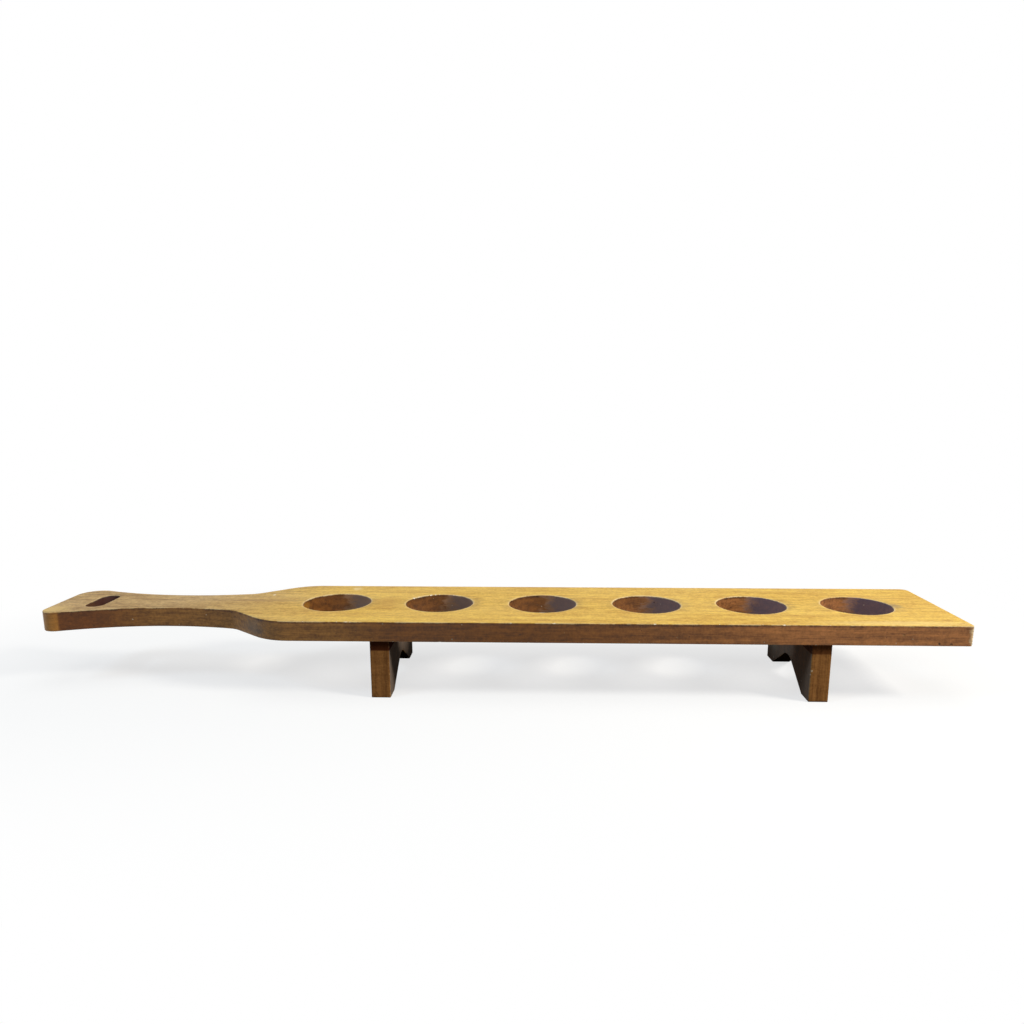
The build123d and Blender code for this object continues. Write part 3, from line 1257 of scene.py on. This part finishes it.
@dataclass
class Plank:
    """The board: six glass holes, a slotted flared handle, and eased edges with knocks in them.

    The bites are pairs of a place and a size: the angle around the second hole in degrees, the height up
    the corner, or the place across the slot. These and the stray bites are in millimetres.
    """

    node: str = "paddle_board"
    edge_round: float = 0.8 * MM
    low_edge_round: float = 0.4 * MM
    edge_margin: float = 1.6 * MM
    wear_depth: float = 0.12 * MM
    wear_patch: float = 18.0 * MM
    neck_half: float = 24.8 * MM
    neck_from_end: float = 123.0 * MM
    flare_radius: float = 280.0 * MM
    handle_far_radius: float = 20.0 * MM
    handle_near_radius: float = 13.0 * MM
    shoulder_from_end: float = 235.0 * MM
    shoulder_angle: float = math.radians(40)
    shoulder_radius: float = 55.0 * MM
    throat_radius: float = 25.0 * MM
    far_corner_radius: float = 8.0 * MM
    near_corner_radius: float = 4.0 * MM
    slot_from_end: float = 41.0 * MM
    slot_width: float = 18.5 * MM
    slot_length: float = 46.0 * MM
    hole_count: int = 6
    hole_pitch: float = 105.0 * MM
    hole_radius: float = 34.0 * MM
    last_hole_from_end: float = 80.5 * MM
    hole_points: int = 112
    outline_spacing: float = 5.0 * MM
    rim_bites: tuple[Pair, ...] = (
        (147.0, 1.7), (136.0, 0.9), (112.0, 1.4), (104.0, 1.1), (97.0, 0.8), (71.0, 0.8)
    )
    corner_bites: tuple[Pair, ...] = (
        (58.6, 1.0), (61.0, 0.8), (64.4, 1.2), (67.2, 0.9), (70.5, 1.1), (73.4, 1.0)
    )
    slot_bites: tuple[Pair, ...] = ((-6.0, 1.0), (-2.4, 1.5), (1.2, 0.9), (5.4, 1.3), (9.5, 0.8))
    stray_count: int = 26
    stray_seed: int = 7
    stray_from_shoulder: float = 30.0
    stray_from_end: float = 75.0

    def __post_init__(self) -> None:
        """Read the plank's place from its solid."""
        self.low, self.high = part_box(self.node)
        last_hole_x = self.high.x - self.last_hole_from_end
        first_hole_x = last_hole_x - (self.hole_count - 1) * self.hole_pitch
        self.hole_xs = [first_hole_x + step * self.hole_pitch for step in range(self.hole_count)]
        self.slot_x = self.low.x + self.slot_from_end

    def handle_side(self, corner_radius: float) -> HandleSide:
        """Work out the runs and turns along one side of the handle.

        Args:
            corner_radius: Radius of that side's corner at the handle's end.

        Returns:
            The side, from the middle of the handle's end to the shoulder.
        """
        flare = Vector((self.low.x + self.neck_from_end, -self.neck_half - self.flare_radius))
        corner_x = self.low.x + corner_radius
        corner_reach = self.flare_radius + corner_radius
        corner_y = flare.y + math.sqrt(corner_reach**2 - (corner_x - flare.x) ** 2)

        slope = Vector((math.cos(self.shoulder_angle), -math.sin(self.shoulder_angle)))
        outward = Vector((slope.y, -slope.x))
        shoulder = Vector((self.low.x + self.shoulder_from_end, self.low.y))
        offset = shoulder + outward * self.throat_radius - flare
        throat_reach = self.flare_radius - self.throat_radius
        lead = offset.dot(slope)
        back = lead + math.sqrt(lead**2 - offset.length_squared + throat_reach**2)
        throat = offset - slope * back

        entry = math.atan2(flare.x - corner_x, corner_y - flare.y)
        leave = math.atan2(-throat.x, throat.y)
        slope_run = back - self.shoulder_radius * math.tan(self.shoulder_angle / 2)
        arcs = (
            (corner_radius, entry + RIGHT_ANGLE, 0.0),
            (self.flare_radius, leave - entry, 0.0),
            (self.throat_radius, -leave - self.shoulder_angle, slope_run),
            (self.shoulder_radius, self.shoulder_angle, 0.0),
        )
        return HandleSide(-corner_y, arcs)

    def draw_outline(self, pen: OutlinePen, height: float) -> None:
        """Draw the plank's outer outline, near side first.

        Args:
            pen: Pen that looks down on the plank.
            height: Height of the outline.
        """
        near = self.handle_side(self.handle_near_radius)
        far = self.handle_side(self.handle_far_radius)
        shoulder_end = self.shoulder_radius * math.tan(self.shoulder_angle / 2)
        straight = self.high.x - self.low.x - self.shoulder_from_end - shoulder_end
        pen.put_down(Vector((self.low.x, 0.0, height)), -ACROSS)
        pen.run(near.end_run)
        for radius, angle, run in near.arcs:
            pen.turn(radius, angle)
            pen.run(run)
        pen.run(straight - self.near_corner_radius)
        pen.turn(self.near_corner_radius, RIGHT_ANGLE)
        pen.run(self.high.y - self.low.y - self.near_corner_radius - self.far_corner_radius)
        pen.turn(self.far_corner_radius, RIGHT_ANGLE)
        pen.run(straight - self.far_corner_radius)
        for radius, angle, run in reversed(far.arcs):
            pen.run(run)
            pen.turn(radius, angle)
        pen.run(far.end_run)

    def draw_slot(self, pen: OutlinePen, height: float) -> None:
        """Draw the round-ended slot across the handle.

        Args:
            pen: Pen that looks down on the plank.
            height: Height of the outline.
        """
        radius = self.slot_width / 2
        straight = self.slot_length - self.slot_width
        start = Vector((self.slot_x - radius, straight / 2, height))
        pen.put_down(start, -ACROSS)
        for _ in range(2):
            pen.run(straight)
            pen.turn(radius, math.pi)

    def chips(self) -> list[Knock]:
        """List the fresh bites out of the plank's edges.

        Returns:
            Bites at the places where the real plank has them, and small ones along its edges.
        """
        top = self.high.z / MM
        rim = self.hole_radius / MM
        second_x = self.hole_xs[1] / MM
        bites = []
        for degrees, size in self.rim_bites:
            angle = math.radians(degrees)
            middle = (second_x + rim * math.cos(angle), rim * math.sin(angle), top)
            bites.append(Knock(middle, (size, 0.9 * size, 0.8 * size)))
        right = self.high.x / MM
        near = self.low.y / MM
        for height, size in self.corner_bites:
            bites.append(Knock((right - 1.2, near + 1.2, height), (1.3 * size, 1.3 * size, size)))
        slot_edge = (self.slot_x + self.slot_width / 2) / MM
        for across, size in self.slot_bites:
            bites.append(Knock((slot_edge + 0.2, across, top), (size, 1.1 * size, 1.4)))
        bites.extend(self._stray_bites(top, near))
        return bites

    def dents(self) -> list[Knock]:
        """List the old dark dents, low on the near side beside the square end.

        Returns:
            The dents.
        """
        right = self.high.x / MM
        near = self.low.y / MM
        return [
            Knock((right - 31.3, near, 59.2), (1.0, 0.7, 1.5)),
            Knock((right - 20.4, near, 59.0), (1.1, 0.8, 1.0)),
            Knock((right - 64.0, near, 67.5), (1.4, 0.5, 0.7)),
        ]

    def _stray_bites(self, top: float, near: float) -> list[Knock]:
        """Scatter small bites along the long edges of the plank.

        Args:
            top: Height of the top face, in millimetres.
            near: Place of the near side, in millimetres.

        Returns:
            The bites.
        """
        draw = random.Random(self.stray_seed)
        start = (self.low.x + self.shoulder_from_end) / MM + self.stray_from_shoulder
        stop = self.high.x / MM - self.stray_from_end
        bites = []
        for step in range(self.stray_count):
            side = draw.choice((near, near, -near))
            height = draw.choice((top, top, self.low.z / MM))
            size = draw.uniform(0.35, 0.85)
            along = start + (stop - start) * (step + draw.uniform(0.2, 0.8)) / self.stray_count
            bites.append(Knock((along, side, height), (size * draw.uniform(1.0, 3.0), size, size)))
        return bites

    def build(self, drills: bpy.types.Object) -> bpy.types.Object:
        """Model the plank.

        Args:
            drills: Cutter for the dowel holes underneath.

        Returns:
            The plank's mesh object.
        """
        height = self.low.z + self.low_edge_round
        pen = OutlinePen("plank", UP, self.outline_spacing)
        self.draw_outline(pen, height)
        self.draw_slot(pen, height)
        for x in self.hole_xs:
            bpy.ops.mesh.primitive_circle_add(
                vertices=self.hole_points, radius=self.hole_radius, location=(x, 0.0, height)
            )
        pen.close()
        bpy.ops.mesh.fill(use_beauty=True)
        wall = self.high.z - self.edge_round - height
        pick(Part.FACES, lambda face: True)
        raise_walls(UP, (self.edge_margin, wall - 2 * self.edge_margin, self.edge_margin))
        ease_face(UP, self.edge_round, self.edge_margin)
        ease_face(-UP, self.low_edge_round, self.edge_margin)
        plank = pen.piece
        wear_down(plank, self.wear_depth, self.wear_patch)
        mark_arris(plank)
        knock(plank, self.chips(), Age.FRESH)
        knock(plank, self.dents(), Age.OLD)
        cut_away(plank, drills)
        finish_mesh(plank)
        return plank


@dataclass
class NotchedLeg:
    """A leg under the plank: a block with a wide round-crowned notch that leaves two feet.

    Edges that turn more than sharp_turn are rounded, and a broad face is one with more than
    broad_corners corners. The heights of the chips are in millimetres.
    """

    node: str
    edge_round: float = 0.8 * MM
    edge_margin: float = 1.4 * MM
    foot_length: float = 20.0 * MM
    notch_slope: float = math.radians(31)
    crown_radius: float = 24.0 * MM
    outline_spacing: float = 3.0 * MM
    sharp_turn: float = math.radians(20)
    joint_margin: float = 0.1 * MM
    broad_corners: int = 8
    chip_heights: Triple = (8.0, 22.0, 38.0)
    chip_stray: float = 5.0

    def __post_init__(self) -> None:
        """Read the leg's place from its solid."""
        self.low, self.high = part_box(self.node)

    def draw_outline(self, pen: OutlinePen) -> None:
        """Draw the leg's end view, from the near foot to the far one and back over the top.

        Args:
            pen: Pen that looks along the plank.
        """
        notch_half = self.high.y - self.foot_length
        crown_tangent = self.crown_radius * math.tan(self.notch_slope)
        slope_run = notch_half / math.cos(self.notch_slope) - crown_tangent
        height = self.high.z - self.low.z
        pen.put_down(self.low, ACROSS)
        pen.run(self.foot_length)
        pen.turn(0.0, self.notch_slope)
        pen.run(slope_run)
        pen.turn(self.crown_radius, -2 * self.notch_slope)
        pen.run(slope_run)
        pen.turn(0.0, self.notch_slope)
        for run in (self.foot_length, height, self.high.y - self.low.y, height):
            pen.run(run)
            pen.turn(0.0, RIGHT_ANGLE)

    def chips(self) -> list[Knock]:
        """Scatter small bites along the leg's four upright edges.

        Returns:
            The bites.
        """
        draw = random.Random(self.node)
        bites = []
        for x in (self.low.x / MM, self.high.x / MM):
            for y in (self.low.y / MM, self.high.y / MM):
                for height in self.chip_heights:
                    size = draw.uniform(0.4, 0.9)
                    middle = (x, y, height + draw.uniform(-self.chip_stray, self.chip_stray))
                    bites.append(Knock(middle, (size, size, size * draw.uniform(1.0, 2.5))))
        return bites

    def build(self, drills: bpy.types.Object) -> bpy.types.Object:
        """Model the leg.

        Args:
            drills: Cutter for the dowel holes in its top.

        Returns:
            The leg's mesh object.
        """
        pen = OutlinePen(f"{self.node}_worn", ALONG, self.outline_spacing)
        self.draw_outline(pen)
        pen.close()
        bpy.ops.mesh.edge_face_add()
        margin = self.edge_round + self.edge_margin
        pick(Part.FACES, lambda face: True)
        raise_walls(ALONG, (margin, self.high.x - self.low.x - 2 * margin, margin))
        self._ease_edges()
        leg = pen.piece
        clear_bench()
        mark_arris(leg)
        knock(leg, self.chips(), Age.FRESH)
        cut_away(leg, drills)
        finish_mesh(leg)
        return leg

    def _ease_edges(self) -> None:
        """Round every edge over except those of the joint, and put a flat ring on the two broad faces."""
        joint = self.high.z - self.joint_margin
        pick(
            Part.EDGES,
            lambda edge: edge.calc_face_angle(0.0) > self.sharp_turn
            and min(end.co.z for end in edge.verts) < joint,
        )
        bpy.ops.mesh.bevel(offset=self.edge_round, segments=ROUND_STEPS, profile=0.5, affect="EDGES")
        pick(
            Part.FACES,
            lambda face: abs(face.normal.x) > FLAT and len(face.verts) > self.broad_corners,
        )
        bpy.ops.mesh.inset(thickness=self.edge_margin, depth=0.0)


@dataclass
class DowelSet:
    """The hidden dowels that join the legs to the plank."""

    nodes: dict[str, bpy.types.Object]
    glue_gap: float = 0.05 * MM
    end_space: float = 1.0 * MM
    drill_points: int = 32

    def drill_tool(self) -> bpy.types.Object:
        """Make a cutter with a drill hole for every dowel.

        Returns:
            The cutter.
        """
        cutter = empty_piece("dowel_drills", bpy.ops.mesh.primitive_cylinder_add, radius=MM, depth=MM)
        for node in self.nodes:
            low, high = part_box(node)
            bpy.ops.mesh.primitive_cylinder_add(
                vertices=self.drill_points,
                radius=(high.x - low.x) / 2 + self.glue_gap,
                depth=high.z - low.z + 2 * self.end_space,
                location=(low + high) / 2,
            )
        clear_bench()
        return cutter

    def dress(self, material: bpy.types.Material) -> None:
        """Put the raw wood on every dowel's solid.

        Args:
            material: The raw wood.
        """
        for solid in self.nodes.values():
            for slot in solid.material_slots:
                slot.material = material


@dataclass(frozen=True)
class Lamp:
    """A soft square lamp: where it hangs, its side in metres, its power in watts and its colour."""

    name: str
    place: Triple
    size: float
    power: float
    colour: Triple

    def hang(self, target: Triple) -> None:
        """Hang the lamp.

        Args:
            target: Point that it faces.
        """
        light = bpy.data.lights.new(self.name, "AREA")
        light.size = self.size
        light.energy = self.power
        light.color = self.colour
        holder = bpy.data.objects.new(self.name, light)
        bpy.context.scene.collection.objects.link(holder)
        holder.location = self.place
        aim = Vector(target) - Vector(self.place)
        holder.rotation_euler = aim.to_track_quat("-Z", "Y").to_euler()


@dataclass
class Studio:
    """Pale floor, white surroundings, soft lamps and the camera."""

    floor_size: float = 12.0
    floor_colour: Colour = WHITE
    floor_bounce: Colour = (0.13, 0.13, 0.13, 1.0)
    floor_glow: float = 0.7
    shadow_half: Pair = (0.4, 0.05)
    shadow_fade: Pair = (0.02, 0.35)
    sky_colour: Colour = (0.80, 0.92, 1.0, 1.0)
    sky_strength: float = 0.16
    lens: float = 27.39
    lens_shift: float = 0.046875
    camera_place: Triple = (0.0437, -0.7668, 0.2833)
    camera_turn: Triple = (math.radians(78.09), math.radians(0.105), math.radians(1.818))
    target: Triple = (0.1, 0.0, 0.07)
    lamps: tuple[Lamp, ...] = (
        Lamp("key_lamp", (1.6, -0.55, 1.25), 0.42, 33.0, (1.0, 0.95, 0.86)),
        Lamp("top_lamp", (0.0, 0.15, 2.3), 1.6, 12.0, (1.0, 0.98, 0.94)),
        Lamp("window", (-1.3, -0.7, 1.6), 0.6, 12.0, (0.76, 0.88, 1.0)),
    )

    @staticmethod
    def _seen_directly(sheet: NodeSheet) -> Socket:
        """Find the rays that show the surroundings themselves, and not their light.

        Args:
            sheet: Sheet to add to.

        Returns:
            A mask of those rays.
        """
        rays = sheet.add("ShaderNodeLightPath").outputs
        mirrored = sheet.math("MAXIMUM", rays["Is Glossy Ray"], rays["Is Transmission Ray"])
        return sheet.math("MAXIMUM", rays["Is Camera Ray"], mirrored)

    def lay_floor(self) -> None:
        """Lay the floor, which fades to white away from the paddle and takes its shadow."""
        clear_bench()
        bpy.ops.mesh.primitive_plane_add(size=self.floor_size)
        floor = bpy.context.object
        floor.name = "floor"
        sheet = FinishSheet("floor_paper")
        seen = self._seen_directly(sheet)
        sheet.plug("Base Color", sheet.mix(seen, self.floor_bounce, self.floor_colour))
        sheet.plug("Roughness", 1.0)
        sheet.plug("Specular IOR Level", 0.0)
        x, y, _ = sheet.split(sheet.add("ShaderNodeTexCoord").outputs["Object"])
        clear = []
        for place, half in zip((x, y), self.shadow_half):
            out = sheet.math("SUBTRACT", sheet.math("ABSOLUTE", place), half)
            clear.append(sheet.math("MAXIMUM", out, 0.0))
        white = sheet.ramp(sheet.hypotenuse(*clear), *self.shadow_fade, self.floor_glow, 1.0)
        glow = sheet.add("ShaderNodeEmission")
        blend = sheet.add("ShaderNodeMixShader")
        sheet.feed(blend.inputs[0], sheet.math("MULTIPLY", seen, white))
        sheet.feed(blend.inputs[1], sheet.shader.outputs[0])
        sheet.feed(blend.inputs[2], glow.outputs[0])
        sheet.feed(sheet.tree.nodes["Material Output"].inputs[0], blend.outputs[0])
        floor.data.materials.append(sheet.material)

    def hang_sky(self) -> None:
        """Surround the scene with white that lights it softly."""
        world = bpy.data.worlds.new("white_room")
        world.use_nodes = True
        bpy.context.scene.world = world
        sheet = NodeSheet(world.node_tree)
        sky = world.node_tree.nodes["Background"]
        seen = self._seen_directly(sheet)
        sheet.feed(sky.inputs["Color"], sheet.mix(seen, self.sky_colour, WHITE))
        sheet.feed(sky.inputs["Strength"], sheet.ramp(seen, 0.0, 1.0, self.sky_strength, 1.0))

    def set_camera(self) -> None:
        """Put the camera where the photograph was taken from."""
        camera = bpy.data.cameras.new("camera")
        camera.sensor_width = 36.0
        camera.lens = self.lens
        camera.shift_y = self.lens_shift
        camera.clip_start = 0.01
        holder = bpy.data.objects.new("camera", camera)
        bpy.context.scene.collection.objects.link(holder)
        holder.location = self.camera_place
        holder.rotation_euler = self.camera_turn
        bpy.context.scene.camera = holder

    def build(self) -> None:
        """Set up the whole studio."""
        self.lay_floor()
        self.hang_sky()
        self.set_camera()
        for lamp in self.lamps:
            lamp.hang(self.target)
        bpy.context.scene.view_settings.view_transform = "Standard"


def set_in_place(piece: bpy.types.Object, node: str, material: bpy.types.Material) -> None:
    """Let a finished piece stand for its solid.

    Args:
        piece: The modelled piece.
        node: The solid that it replaces.
        material: Its finish.
    """
    piece.data.materials.clear()
    piece.data.materials.append(material)
    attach(piece, "root")
    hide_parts(node)
    LOG.info("%s stands for %s, %d faces", piece.name, node, len(piece.data.polygons))


def main() -> None:
    """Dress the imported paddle, set up the studio and report each piece."""
    logging.basicConfig(level=logging.INFO, format="%(name)s: %(message)s")
    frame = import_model()
    clear_bench()

    effects = WoodEffects()
    dowels = DowelSet({name: solid for name, solid in frame["nodes"].items() if name.endswith("_dowel")})
    drills = dowels.drill_tool()

    plank = Plank()
    set_in_place(plank.build(drills), plank.node, PlankFinish().material(effects, plank))

    leg_finish = LegFinish().material(effects, plank.low.z)
    for node in ("handle_leg", "square_end_leg"):
        leg = NotchedLeg(node)
        set_in_place(leg.build(drills), leg.node, leg_finish)

    dowels.dress(DowelFinish().material(effects))
    LOG.info("%d dowels keep their solids", len(dowels.nodes))
    bpy.data.objects.remove(drills)

    Studio().build()


if __name__ == "__main__":
    main()
